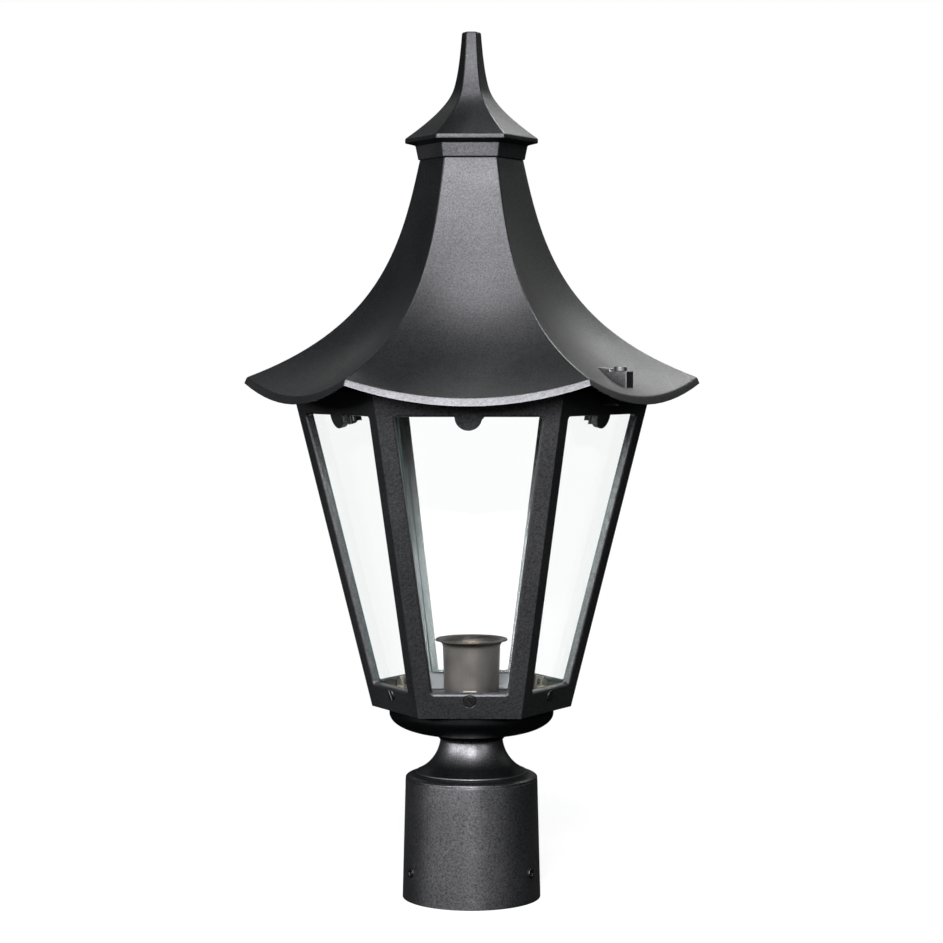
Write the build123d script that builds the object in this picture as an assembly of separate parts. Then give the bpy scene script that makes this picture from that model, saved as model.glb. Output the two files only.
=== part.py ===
"""Hexagonal post top lantern: cast frame with six panes, a lift-off bell roof and a post fitter.

Millimetres. The origin is the centre of the fitter's lower rim, +Z is up, and one flat side
of the lantern faces -Y. Corners of every hexagon point along X and at 60 degree steps from it.
"""
import os
from math import acos, atan, cos, degrees, radians, sin, tan

from build123d import *

os.makedirs("parts", exist_ok=True)

# ---------------------------------------------------------------- driving sizes, mm
# Post fitter: a drafted socket for a round post, closed by a web with a rounded shoulder.
post_diameter = 76.2
post_clearance = 0.65
socket_depth = 63.0
post_stop_width = 9.0
post_stop_height = 8.0
fitter_web = 6.9
fitter_rim_radius = 43.15
fitter_top_radius = 41.25
groove_width = 0.9
groove_depth = 0.7
shoulder_height = 2.9
shoulder_ease = 0.8
set_screw_height = 18.5
set_screw_radius = 3.0
set_screw_fit = 0.05
set_screw_proud = 0.7
set_screw_socket_radius = 1.6
set_screw_socket_depth = 2.5

# Neck: a waisted casting between the fitter and the pan.
neck_base_radius = 34.8
neck_lip_height = 1.0
neck_height = 24.9
neck_waist_radius = 19.5
neck_bead_radius = 22.1
neck_bead_height = 1.5
neck_bead_bevel = 2.7
neck_sag = -3.5
neck_core_base_radius = 30.0
neck_core_radius = 14.5
neck_core_rise = 15.0
neck_web = 4.5

# Pan: the shallow bowl under the cage.
pan_radius = 51.3
pan_height = 16.2
pan_flat_radius = 22.0
pan_rim_height = 3.6
pan_wall = 3.0
spigot_height = 3.0
spigot_width = 4.5
spigot_clearance = 0.35

# Cage: one hexagonal casting that leans outwards as it rises.
cage_bottom_flats = 107.9
cage_top_flats = 193.8
cage_height = 198.0
cage_wall = 4.5
bottom_rail = 15.2
top_rail = 15.2
stile_width = 10.5
window_bevel = 1.0
window_corner = 1.8
ear_radius = 8.1
cage_pad_gap = 1.2
flange_width = 15.9
flange_thickness = 3.0

# Panes, their lower brackets and their upper spring clips.
glass_thickness = 3.0
glass_gap = 0.25
glass_overlap = 4.5
bracket_width = 8.0
bracket_foot = 5.0
bracket_shelf = 13.4
bracket_lip = 1.3
bracket_lip_height = 1.4
bracket_fit = 0.2
clip_width = 9.0
clip_thickness = 1.0
clip_drop = 5.0
clip_reach = 7.0
clip_head_gap = 0.5
clip_screw_radius = 1.5
clip_screw_head_radius = 2.7
clip_screw_head = 1.2

# Slotted screws through the bottom rail, one to each side.
rail_screw_height = 10.8
rail_screw_radius = 2.0
rail_screw_head_radius = 3.4
rail_screw_head = 1.5
rail_screw_recess = 0.9
rail_screw_ring = 0.45
slot_width = 1.0
slot_depth = 0.8
slot_turns = (-53.0, 20.0, 75.0, -15.0, 40.0, -70.0)

# Floor plate over the pan.
floor_thickness = 1.5
floor_clearance = 0.4

# Threaded stem that clamps fitter, neck, pan, floor plate and cup.
stem_radius = 5.1
stem_bore_radius = 3.4
stem_hole_clearance = 0.3
stem_nut_flats = 15.0
stem_nut_height = 4.0
stem_washer_radius = 9.0
stem_washer_thickness = 1.0
stem_end = 1.5

# Lampholder: flared metal cup, porcelain body, screw shell, bushing and contact.
cup_height = 38.3
cup_foot_radius = 16.9
cup_body_radius = 17.9
cup_rim_radius = 22.75
cup_flare_height = 5.2
cup_wall = 1.2
cup_foot_bevel = 1.0
bushing_radius = 8.0
bushing_height = 5.0
holder_radius = 15.0
holder_height = 22.0
holder_recess_depth = 3.5
holder_floor = 4.3
holder_gap = 0.2
shell_bore_radius = 13.2
shell_wall = 0.5
shell_height = 19.0
shell_lip = 4.0
contact_width = 5.0
contact_length = 12.0
contact_thickness = 0.6
contact_rise = 2.4

# Roof: six trough-shaped sides between concave hips, and a closed neck.
gasket_thickness = 2.0
gasket_width = 8.0
gasket_inset = 3.0
skirt_inset = 2.0
skirt_width = 4.0
eave_rise = 7.8
eave_overhang = 28.6
eave_lip = 1.8
eave_edge_height = 4.2
roof_height = 134.7
roof_neck_radius = 32.4
roof_neck_angle = 78.0
roof_neck_pull = 56.0
roof_eave_angle = 20.5
roof_eave_pull = 88.0
roof_dip = 12.0
eave_top_dip = 11.0
eave_bottom_dip = 12.1
roof_wall = 3.6
roof_web = 4.5

# Roof hold-down screws, in a wedge-shaped boss on each of two opposite sides.
holddown_azimuths = {"roof_screw_right": -30, "roof_screw_left": 150}
holddown_reach = 7.6
lug_radius = 6.0
lug_thickness = 5.0
lug_drop = 3.5
holddown_gap = 0.3
boss_width = 9.2
boss_inward = 16.0
boss_outward = 6.5
boss_height = 7.4
boss_slope = 6.5
boss_seat_inward = 4.6
boss_seat_drop = 0.8
pillar_inset = 0.2
holddown_radius = 2.4
holddown_fit = 0.08
holddown_clearance = 0.35
holddown_head_radius = 3.9
holddown_head = 2.8

# Finial: a hexagonal collar, flared cap and spike.
collar_height = 8.9
collar_foot_radius = 33.3
collar_top_radius = 35.1
cap_radius = 41.5
cap_drip = 1.5
cap_band = 2.8
flare_height = 28.3
flare_pull_radius = 17.5
flare_pull_height = 16.7
spike_root_radius = 12.2
spike_height = 35.7
spike_pull_radius = 8.35
spike_pull_height = 8.3
spike_tip_radius = 6.2
tip_height = 1.9
tip_top_radius = 4.8
rod_radius = 3.0
rod_engagement = 24.0
rod_tail = 3.0
rod_hole_clearance = 0.3
rod_nut_flats = 10.0
rod_nut_height = 5.0
rod_washer_radius = 8.0
rod_washer_thickness = 1.2

# ---------------------------------------------------------------- worked-out places
side_azimuths = [-90 + 60 * step for step in range(6)]
flat = cos(radians(30))
half_side_share = tan(radians(30))
quarter_turn = 90

fitter_bore = post_diameter / 2 + post_clearance
web_bottom = socket_depth + post_stop_height
fitter_top = web_bottom + fitter_web
neck_top = fitter_top + neck_height
pan_top = neck_top + pan_height
floor_bottom = pan_top + spigot_height
floor_top = floor_bottom + floor_thickness
cage_top = pan_top + cage_height
roof_seat = cage_top + gasket_thickness
eave_top = cage_top + eave_rise
roof_top = eave_top + roof_height

lean = (cage_top_flats - cage_bottom_flats) / 2 / cage_height
lean_angle = atan(lean)
wall_across = cage_wall / cos(lean_angle)
stem_hole = stem_radius + stem_hole_clearance
eave_corner_radius = cage_top_flats / 2 / flat + eave_overhang


def cage_flat(height):
    """Distance from the axis to the cage's outer side at a height."""
    return cage_bottom_flats / 2 + lean * (height - pan_top)


def corner(flat_distance):
    """Corner radius of a hexagon from the distance to its flats."""
    return flat_distance / flat


# ---------------------------------------------------------------- shared shapes
def side_directions(azimuth):
    """Outward, sideways, up-the-slope and normal directions of one leaning side."""
    turn = radians(azimuth)
    outward = Vector(cos(turn), sin(turn), 0)
    sideways = Vector(-sin(turn), cos(turn), 0)
    upslope = outward * sin(lean_angle) + Vector(0, 0, cos(lean_angle))
    normal = outward * cos(lean_angle) - Vector(0, 0, sin(lean_angle))
    return outward, sideways, upslope, normal


def side_plane(azimuth):
    """Outer face of one cage side: x sideways, y up the slope, z outwards."""
    outward, sideways, _, normal = side_directions(azimuth)
    origin = outward * (cage_bottom_flats / 2) + Vector(0, 0, pan_top)
    return Plane(origin=origin, x_dir=sideways, z_dir=normal)


def side_section_plane(azimuth):
    """Section through the middle of one cage side: x up the slope, y outwards."""
    outward, sideways, upslope, _ = side_directions(azimuth)
    origin = outward * (cage_bottom_flats / 2) + Vector(0, 0, pan_top)
    return Plane(origin=origin, x_dir=upslope, z_dir=sideways)


def upright_plane(azimuth):
    """Vertical plane through the axis: x outwards from the axis, y up."""
    outward, sideways, _, _ = side_directions(azimuth)
    return Plane(origin=(0, 0, 0), x_dir=outward, z_dir=sideways * -1)


def outline(*points):
    """Closed flat face through the points."""
    return make_face(Polyline(*points, close=True))


def turned(curve):
    """Body of revolution about the axis from a closed curve of radius and height."""
    return revolve(Plane.XZ * make_face(curve), Axis.Z)


def disc(radius, bottom, top, hole=0.0):
    """Upright cylinder on the axis, with an optional hole."""
    body = Pos(0, 0, bottom) * extrude(Circle(radius), top - bottom)
    if hole:
        body -= Pos(0, 0, bottom - 1) * extrude(Circle(hole), top - bottom + 2)
    return body


def hex_prism(flat_distance, bottom, top):
    """Upright hexagonal prism with a side towards -Y."""
    return Pos(0, 0, bottom) * extrude(RegularPolygon(corner(flat_distance), 6), top - bottom)


def hex_nut(across_flats, bottom, top, hole):
    """Hexagonal nut on the axis."""
    return hex_prism(across_flats / 2, bottom, top) - disc(hole, bottom - 1, top + 1)


def patch(rows, dips):
    """One side of a hexagonal surface, from hip control points (corner radius, height).

    Each row runs from hip to hip and sags by its dip at the middle.
    """
    net = []
    for (radius, height), dip in zip(rows, dips):
        left = (-radius / 2, -radius * flat, height)
        middle = (0, -radius * flat, height - 2 * dip)
        right = (radius / 2, -radius * flat, height)
        net.append([left, middle, right])
    if len(rows) > 2 or any(dips):
        return Face.make_bezier_surface(net)
    lower, upper = net
    return outline(lower[0], lower[2], upper[2], upper[0]).faces()[0]


def hex_cap(radius, height):
    """Flat hexagonal face that closes a hexagonal surface."""
    return (Pos(0, 0, height) * RegularPolygon(radius, 6)).faces()[0]


def hex_body(surfaces, caps):
    """Closed body from hexagonal surfaces, each given for one side, and its flat caps."""
    faces = [cap for cap in caps]
    for surface in surfaces:
        faces += [surface.rotate(Axis.Z, azimuth + quarter_turn) for azimuth in side_azimuths]
    return Part(Solid(Shell(faces)).fix().wrapped)


def hex_frustum(bottom_flat, bottom, top_flat, top):
    """Hexagonal frustum between two levels."""
    rows = [(corner(bottom_flat), bottom), (corner(top_flat), top)]
    return hex_body([patch(rows, (0, 0))], [hex_cap(*rows[0]), hex_cap(*rows[1])])


# ---------------------------------------------------------------- fitter, neck and pan
def make_fitter():
    """Post fitter: drafted socket, post stop, web and rounded shoulder over a groove."""
    groove_top = fitter_top - shoulder_height
    groove_bottom = groove_top - groove_width
    groove_radius = fitter_top_radius - groove_depth
    stop_radius = fitter_bore - post_stop_width
    wall = Polyline(
        (neck_base_radius, fitter_top),
        (stem_hole, fitter_top),
        (stem_hole, web_bottom),
        (stop_radius, web_bottom),
        (stop_radius, socket_depth),
        (fitter_bore, socket_depth),
        (fitter_bore, 0),
        (fitter_rim_radius, 0),
        (fitter_top_radius, groove_bottom),
        (groove_radius, groove_bottom),
        (groove_radius, groove_top),
        (fitter_top_radius, groove_top),
    )
    shoulder = Bezier(
        (fitter_top_radius, groove_top),
        (fitter_top_radius - shoulder_ease, fitter_top - shoulder_ease),
        (neck_base_radius, fitter_top),
    )
    body = turned(wall + shoulder)
    for azimuth in set_screw_azimuths.values():
        body -= set_screw_place(azimuth) * Cylinder(
            set_screw_radius + set_screw_fit, 2 * post_stop_width
        )
    return body


def set_screw_place(azimuth):
    """Middle of the fitter's wall at one set screw, with z pointing outwards."""
    outward = side_directions(azimuth)[0]
    return Plane(origin=outward * fitter_bore + Vector(0, 0, set_screw_height), z_dir=outward)


def make_set_screw(azimuth):
    """Headless screw, flush inside the bore, with a hexagonal key socket outside."""
    draft = (fitter_rim_radius - fitter_top_radius) / fitter_top
    wall = fitter_rim_radius - draft * set_screw_height - fitter_bore
    length = wall + set_screw_proud - set_screw_fit
    body = Pos(0, 0, set_screw_fit) * extrude(Circle(set_screw_radius), length)
    key = RegularPolygon(set_screw_socket_radius, 6)
    body -= Pos(0, 0, set_screw_fit + length - set_screw_socket_depth) * extrude(key, length)
    return set_screw_place(azimuth) * body


def make_neck():
    """Waisted neck with a bead at the top, cored out from below."""
    waist = neck_top - neck_bead_height - neck_bead_bevel
    lip = fitter_top + neck_lip_height
    flare = SagittaArc((neck_waist_radius, waist), (neck_base_radius, lip), neck_sag)
    rest = Polyline(
        (neck_base_radius, lip),
        (neck_base_radius, fitter_top),
        (neck_core_base_radius, fitter_top),
        (neck_core_radius, fitter_top + neck_core_rise),
        (neck_core_radius, neck_top - neck_web),
        (stem_hole, neck_top - neck_web),
        (stem_hole, neck_top),
        (neck_bead_radius, neck_top),
        (neck_bead_radius, neck_top - neck_bead_height),
        (neck_waist_radius, waist),
    )
    return turned(flare + rest)


def make_pan():
    """Shallow bowl with an elliptical side, a thick rim and a spigot that centres the cage."""
    rim_bottom = pan_top - pan_rim_height
    spread = pan_radius - pan_flat_radius
    rise = rim_bottom - neck_top
    spigot = spigot_radius - spigot_width
    spigot_turn = degrees(acos((spigot - pan_flat_radius) / (spread - pan_wall)))
    centre = (pan_flat_radius, rim_bottom)
    bowl = EllipticalCenterArc(centre, spread, rise, -quarter_turn, arc_size=quarter_turn)
    inside = EllipticalCenterArc(
        centre,
        spread - pan_wall,
        rise - pan_wall,
        -quarter_turn,
        arc_size=quarter_turn - spigot_turn,
    )
    rim = Polyline(
        bowl @ 1,
        (pan_radius, pan_top),
        (spigot_radius, pan_top),
        (spigot_radius, floor_bottom),
        (spigot, floor_bottom),
        inside @ 1,
    )
    floor = Polyline(
        inside @ 0,
        (stem_hole, neck_top + pan_wall),
        (stem_hole, neck_top),
        bowl @ 0,
    )
    return turned(bowl + rim + inside + floor)


spigot_radius = cage_bottom_flats / 2 - wall_across - spigot_clearance
set_screw_azimuths = {"set_screw_right": -30, "set_screw_rear": 90, "set_screw_left": -150}


# ---------------------------------------------------------------- cage and panes
def slope(height_above_pan):
    """Distance up the cage's side for a height above the pan."""
    return height_above_pan / cos(lean_angle)


window_foot = slope(bottom_rail)
window_head = slope(cage_height - top_rail)


def window_half_width(up):
    """Half the window's width at a distance up the side."""
    return (cage_bottom_flats / 2 + up * sin(lean_angle)) * half_side_share - stile_width


def window_outline(grow=0.0):
    """Tapered window with rounded corners, widened all round by grow."""
    foot = window_half_width(window_foot) + grow
    head = window_half_width(window_head) + grow
    shape = outline(
        (-foot, window_foot - grow),
        (foot, window_foot - grow),
        (head, window_head + grow),
        (-head, window_head + grow),
    )
    return fillet(shape.vertices(), window_corner + grow)


def make_cage():
    """Cage casting: six stiles and two rails with windows, ears, pads, flange and lugs."""
    body = hex_frustum(cage_bottom_flats / 2, pan_top, cage_top_flats / 2, cage_top)
    flange_bottom = cage_top - flange_thickness
    body -= hex_frustum(
        cage_flat(pan_top - 1) - wall_across,
        pan_top - 1,
        cage_flat(flange_bottom) - wall_across,
        flange_bottom,
    )
    body -= hex_prism(cage_top_flats / 2 - flange_width, flange_bottom - 1, cage_top + 1)
    pads = hex_frustum(
        cage_flat(pan_top) - wall_across / 2,
        pan_top,
        cage_flat(floor_bottom) - wall_across / 2,
        floor_bottom,
    )
    body += pads - disc(spigot_radius + cage_pad_gap, pan_top - 1, floor_bottom + 1)
    for azimuth in side_azimuths:
        side = side_plane(azimuth)
        inner = side.offset(-cage_wall - 1)
        body -= extrude(inner * window_outline(), cage_wall + 2)
        bevel = loft([side.offset(-window_bevel) * window_outline(), side * window_outline(window_bevel)])
        body -= bevel
        ear = Pos(0, window_head) * Circle(ear_radius)
        body += extrude(side.offset(-cage_wall) * ear, cage_wall)
        body -= rail_screw_axis(azimuth) * Pos(0, 0, -cage_wall) * Cylinder(
            rail_screw_radius + rail_screw_ring, 3 * cage_wall
        )
        body -= rail_screw_axis(azimuth) * Pos(0, 0, cage_wall / 2 - rail_screw_recess) * Cylinder(
            rail_screw_head_radius + rail_screw_ring, cage_wall
        )
    for azimuth in side_azimuths:
        body -= clip_screw_axis(azimuth) * Cylinder(clip_screw_radius + bracket_fit, 3 * flange_thickness)
    for azimuth in holddown_azimuths.values():
        body += make_lug(azimuth)
    return body


def rail_screw_axis(azimuth):
    """Centre of one rail screw on the outer face, with z pointing outwards."""
    return side_plane(azimuth) * Pos(0, slope(rail_screw_height))


def holddown_place(azimuth, height):
    """Point on a hold-down screw's upright axis."""
    outward = side_directions(azimuth)[0] * (cage_top_flats / 2 + holddown_reach)
    return Pos(outward.X, outward.Y, height)


def make_lug(azimuth):
    """Tapped lug on the cage's top rail for one hold-down screw."""
    top = cage_top - lug_drop
    bottom = top - lug_thickness
    reach = cage_top_flats / 2 + holddown_reach
    root = cage_flat(bottom) - wall_across / 2
    arm = extrude(
        upright_plane(azimuth) * outline((root, bottom), (reach, bottom), (reach, top), (root, top)),
        lug_radius,
        both=True,
    )
    arm += holddown_place(azimuth, bottom) * extrude(Circle(lug_radius), lug_thickness)
    hole = extrude(Circle(holddown_radius + holddown_fit), lug_thickness + 2)
    return arm - holddown_place(azimuth, bottom - 1) * hole


glass_outer = cage_wall + glass_gap
glass_inner = glass_outer + glass_thickness
glass_foot = bracket_shelf + bracket_fit


def make_glass(azimuth):
    """One tapered pane behind its window, standing on its bracket."""
    head = window_head + glass_overlap
    foot_half = window_half_width(glass_foot) + glass_overlap
    head_half = window_half_width(head) + glass_overlap
    shape = outline(
        (-foot_half, glass_foot),
        (foot_half, glass_foot),
        (head_half, head),
        (-head_half, head),
    )
    return extrude(side_plane(azimuth).offset(-glass_inner) * shape, glass_thickness)


def make_bracket(azimuth):
    """Tapped block behind the bottom rail, with a shelf and lip that hold the pane."""
    shelf_depth = glass_inner + bracket_fit
    back = shelf_depth + bracket_lip
    shape = outline(
        (bracket_foot, -cage_wall),
        (bracket_shelf, -cage_wall),
        (bracket_shelf, -shelf_depth),
        (bracket_shelf + bracket_lip_height, -shelf_depth),
        (bracket_shelf + bracket_lip_height, -back),
        (bracket_foot, -back),
    )
    block = extrude(side_section_plane(azimuth) * shape, bracket_width / 2, both=True)
    return block - rail_screw_axis(azimuth) * Pos(0, 0, -back) * Cylinder(
        rail_screw_radius + bracket_fit, 2 * back
    )


def make_rail_screw(azimuth, slot_turn):
    """Slotted cheese-head screw through the rail into the bracket."""
    tail = glass_inner + bracket_fit + bracket_lip
    seat = -rail_screw_recess
    body = Pos(0, 0, -tail) * extrude(Circle(rail_screw_radius), tail + seat)
    body += Pos(0, 0, seat) * extrude(Circle(rail_screw_head_radius), rail_screw_head)
    slot = Rot(0, 0, slot_turn) * Rectangle(3 * rail_screw_head_radius, slot_width)
    body -= Pos(0, 0, seat + rail_screw_head - slot_depth) * extrude(slot, rail_screw_head)
    return rail_screw_axis(azimuth) * body


def clip_screw_axis(azimuth):
    """Underside of the top flange at one clip screw, with z up."""
    under = cage_top - flange_thickness
    clear = clip_thickness + clip_head_gap + clip_screw_head_radius
    distance = cage_flat(under) - glass_inner / cos(lean_angle) - clear
    outward = side_directions(azimuth)[0] * distance
    return Pos(outward.X, outward.Y, under)


def make_clip(azimuth):
    """Bent spring strip screwed under the flange, pressing the pane against the ear."""
    under = cage_top - flange_thickness
    foot = pan_top + (window_head - clip_drop) * cos(lean_angle)
    face = glass_inner / cos(lean_angle)
    back = face + clip_thickness
    bend = under - clip_thickness
    inner_end = cage_flat(under) - face - clip_reach
    shape = outline(
        (inner_end, under),
        (cage_flat(under) - face, under),
        (cage_flat(foot) - face, foot),
        (cage_flat(foot) - back, foot),
        (cage_flat(bend) - back, bend),
        (inner_end, bend),
    )
    strip = extrude(upright_plane(azimuth) * shape, clip_width / 2, both=True)
    return strip - clip_screw_axis(azimuth) * Cylinder(clip_screw_radius + bracket_fit, 4 * clip_thickness)


def make_clip_screw(azimuth):
    """Small pan-head screw up through a clip into the flange."""
    head = Pos(0, 0, -clip_thickness - clip_screw_head) * extrude(
        Circle(clip_screw_head_radius), clip_screw_head
    )
    slot = Rectangle(3 * clip_screw_head_radius, slot_width)
    head -= Pos(0, 0, -clip_thickness - clip_screw_head) * extrude(slot, clip_screw_head / 2)
    shank = Pos(0, 0, -clip_thickness) * extrude(
        Circle(clip_screw_radius), clip_thickness + flange_thickness
    )
    return clip_screw_axis(azimuth) * (head + shank)


def make_floor():
    """Hexagonal plate on the spigot and the cage's corner pads."""
    reach = cage_flat(floor_bottom) - wall_across - floor_clearance
    return hex_prism(reach, floor_bottom, floor_top) - disc(stem_hole, floor_bottom - 1, floor_top + 1)


# ---------------------------------------------------------------- stem and lampholder
cup_floor_top = floor_top + cup_wall
upper_washer_top = cup_floor_top + stem_washer_thickness
upper_nut_top = upper_washer_top + stem_nut_height
bushing_top = upper_nut_top + bushing_height
holder_bottom = bushing_top - holder_recess_depth
holder_top = holder_bottom + holder_height
shell_floor = bushing_top + holder_floor
shell_radius = shell_bore_radius + shell_wall
stem_fit = 0.05


def make_cup():
    """Spun metal cup with a slightly tapered body and a flared rim."""
    rim_top = floor_top + cup_height
    flare_foot = rim_top - cup_flare_height
    inner_rim = cup_rim_radius - cup_wall / 2
    outer = Bezier(
        (cup_body_radius, flare_foot),
        (cup_body_radius + cup_wall / 2, rim_top - cup_wall),
        (cup_rim_radius, rim_top - cup_wall),
    )
    inner = Bezier(
        (inner_rim, rim_top),
        (cup_body_radius, rim_top),
        (cup_body_radius - cup_wall, flare_foot),
    )
    lip = Line(outer @ 1, inner @ 0)
    inside = Polyline(
        inner @ 1,
        (cup_foot_radius - cup_wall, cup_floor_top),
        (stem_hole, cup_floor_top),
        (stem_hole, floor_top),
        (cup_foot_radius - cup_foot_bevel, floor_top),
        (cup_foot_radius, floor_top + cup_foot_bevel),
        outer @ 0,
    )
    return turned(outer + lip + inner + inside)


def make_holder():
    """Porcelain body with a recess for the bushing below and the shell above."""
    body = disc(holder_radius, holder_bottom, holder_top)
    body = fillet(body.edges().group_by(Axis.Z)[-1], holder_gap * 4)
    body -= disc(bushing_radius + holder_gap, holder_bottom - 1, bushing_top)
    body -= disc(shell_radius + holder_gap, shell_floor, holder_top + 1)
    return body - disc(stem_bore_radius, bushing_top - 1, shell_floor + 1)


def make_shell():
    """Screw shell for a medium lamp base, with a lip on the recess floor."""
    tube = disc(shell_radius, shell_floor, shell_floor + shell_height, shell_bore_radius)
    lip = disc(shell_radius, shell_floor, shell_floor + shell_wall, shell_bore_radius - shell_lip)
    return tube + lip


def make_contact():
    """Bent brass strip at the bottom of the shell."""
    half = contact_length / 2
    shape = outline(
        (-half, 0),
        (half / 3, 0),
        (half / 3, contact_thickness),
        (-half + contact_thickness, contact_thickness),
        (-half + contact_thickness, contact_rise),
        (half / 3, contact_rise + contact_thickness),
        (half / 3, contact_rise + 2 * contact_thickness),
        (-half, contact_rise + contact_thickness),
    )
    strip = extrude(Plane.XZ * shape, contact_width / 2, both=True)
    return Pos(0, 0, shell_floor) * strip


# ---------------------------------------------------------------- roof
def slope_point(start, angle, reach):
    """Point a distance from start, going outwards and down at an angle."""
    turn = radians(angle)
    return (start[0] + reach * cos(turn), start[1] - reach * sin(turn))


hip_start = (roof_neck_radius, roof_top)
hip_end = (eave_corner_radius, eave_top)
hip = [
    hip_start,
    slope_point(hip_start, roof_neck_angle, roof_neck_pull),
    slope_point(hip_end, roof_eave_angle, -roof_eave_pull),
    hip_end,
]
hip_dips = (0, 0, roof_dip, eave_top_dip)
inner_step = roof_wall / flat
inner_start = (roof_neck_radius - inner_step, roof_top - roof_web)
inner_hip = [
    inner_start,
    slope_point(hip[1], roof_neck_angle + quarter_turn, inner_step),
    slope_point(hip[2], roof_eave_angle + quarter_turn, roof_wall),
    (eave_corner_radius + eave_lip, eave_top - eave_edge_height),
]
inner_dips = (0, 0, roof_dip, eave_bottom_dip)


def bezier(values, t):
    """Point of a cubic curve with four control values."""
    a, b, c, d = values
    u = 1 - t
    return u**3 * a + 3 * u**2 * t * b + 3 * u * t**2 * c + t**3 * d


def roof_height_at(flat_distance, middle=True):
    """Height of the roof's outside at a distance from the axis, mid-side or at the hip."""
    low, high = 0.0, 1.0
    for _ in range(50):
        t = (low + high) / 2
        if bezier([point[0] for point in hip], t) < corner(flat_distance):
            low = t
        else:
            high = t
    dip = bezier(hip_dips, t) if middle else 0
    return bezier([point[1] for point in hip], t) - dip


def make_roof():
    """Roof casting: bell-shaped shell, seat skirt and two hold-down bosses."""
    eave_rows = [hip[3], inner_hip[3]]
    body = hex_body(
        [
            patch(hip, hip_dips),
            patch(inner_hip, inner_dips),
            patch(eave_rows, (eave_top_dip, eave_bottom_dip)),
        ],
        [hex_cap(*hip[0]), hex_cap(*inner_hip[0])],
    )
    for azimuth in side_azimuths:
        body += make_skirt_side(azimuth)
    for azimuth in holddown_azimuths.values():
        body += make_boss(azimuth)
    for azimuth in holddown_azimuths.values():
        hole = extrude(Circle(holddown_radius + holddown_clearance), roof_height)
        body -= holddown_place(azimuth, cage_top - lug_drop) * hole
    return body - disc(rod_radius + rod_hole_clearance, roof_top - 2 * roof_web, roof_top + 1)


def make_skirt_side(azimuth):
    """One side of the hexagonal skirt that seats the roof on its gasket."""
    outer = cage_top_flats / 2 - gasket_inset - skirt_inset
    half = outer * half_side_share
    middle = outer - skirt_width / 2
    embed = roof_wall / 2
    hip_level = roof_height_at(middle, middle=False) - embed
    side_level = roof_height_at(middle) - embed
    top = Bezier((half, hip_level), (0, 2 * side_level - hip_level), (-half, hip_level))
    rest = Polyline((-half, hip_level), (-half, roof_seat), (half, roof_seat), (half, hip_level))
    outward, sideways, _, _ = side_directions(azimuth)
    wall = Plane(origin=outward * (outer - skirt_width), x_dir=sideways, z_dir=outward)
    return extrude(wall * make_face(top + rest), skirt_width)


def make_boss(azimuth):
    """Wedge on the roof and pillar under it for one hold-down screw."""
    place = cage_top_flats / 2 + holddown_reach
    level = boss_seat_level()
    embed = roof_wall / 2
    drop = tan(radians(boss_slope))
    crest = level + boss_seat_drop
    start = place - boss_inward
    end = place + boss_outward
    step = place - boss_seat_inward
    shape = outline(
        (start, roof_height_at(start) - embed),
        (end, roof_height_at(end) - embed),
        (end, level),
        (step, level),
        (step, crest + drop * boss_seat_inward),
        (start, crest + drop * boss_inward),
    )
    wedge = extrude(upright_plane(azimuth) * shape, boss_width / 2, both=True)
    foot = cage_top - lug_drop + holddown_gap
    pillar = extrude(Circle(boss_width / 2 - pillar_inset), roof_height_at(place) + embed - foot)
    return wedge + holddown_place(azimuth, foot) * pillar


def boss_seat_level():
    """Height of the flat that a hold-down screw's head bears on."""
    return roof_height_at(cage_top_flats / 2 + holddown_reach) + boss_height - boss_seat_drop


def make_holddown(azimuth):
    """Captive slotted screw, standing in the roof's boss and the cage's lug."""
    level = boss_seat_level()
    tip = cage_top - lug_drop - lug_thickness + holddown_gap
    body = extrude(Circle(holddown_radius), level - tip)
    head = Pos(0, 0, level - tip) * extrude(Circle(holddown_head_radius), holddown_head)
    head = fillet(head.edges().group_by(Axis.Z)[-1], holddown_head / 4)
    body += head
    slot = Rot(0, 0, azimuth) * Rectangle(3 * holddown_head_radius, slot_width)
    body -= Pos(0, 0, level - tip + holddown_head - slot_depth) * extrude(slot, holddown_head)
    return holddown_place(azimuth, tip) * body


def make_gasket():
    """Hexagonal gasket between the cage's top and the roof's skirt."""
    outer = cage_top_flats / 2 - gasket_inset
    ring = hex_prism(outer, cage_top, roof_seat)
    return ring - hex_prism(outer - gasket_width, cage_top - 1, roof_seat + 1)


# ---------------------------------------------------------------- finial and its rod
rod_top = roof_top + rod_engagement
web_underside = roof_top - roof_web
rod_washer_bottom = web_underside - rod_washer_thickness
rod_nut_bottom = rod_washer_bottom - rod_nut_height


def make_finial():
    """Hexagonal collar, flared cap and spike, drilled from below for the rod."""
    collar_top = roof_top + collar_height
    band_bottom = collar_top + cap_drip
    band_top = band_bottom + cap_band
    spike_root = band_top + flare_height
    spike_top = spike_root + spike_height
    levels = [
        [(collar_foot_radius, roof_top), (collar_top_radius, collar_top)],
        [(collar_top_radius, collar_top), (cap_radius, band_bottom)],
        [(cap_radius, band_bottom), (cap_radius, band_top)],
        [
            (cap_radius, band_top),
            (flare_pull_radius, band_top + flare_pull_height),
            (spike_root_radius, spike_root),
        ],
        [
            (spike_root_radius, spike_root),
            (spike_pull_radius, spike_root + spike_pull_height),
            (spike_tip_radius, spike_top),
        ],
        [
            (spike_tip_radius, spike_top),
            (spike_tip_radius, spike_top + tip_height),
            (tip_top_radius, spike_top + tip_height),
        ],
    ]
    surfaces = [patch(rows, [0] * len(rows)) for rows in levels]
    caps = [hex_cap(collar_foot_radius, roof_top), hex_cap(tip_top_radius, spike_top + tip_height)]
    return hex_body(surfaces, caps) - disc(rod_radius + stem_fit, roof_top - 1, rod_top)


# ---------------------------------------------------------------- assembly
def each_side(make):
    """One group of separate solids, one to each side."""
    return Compound([solid for azimuth in side_azimuths for solid in make(azimuth).solids()])


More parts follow.
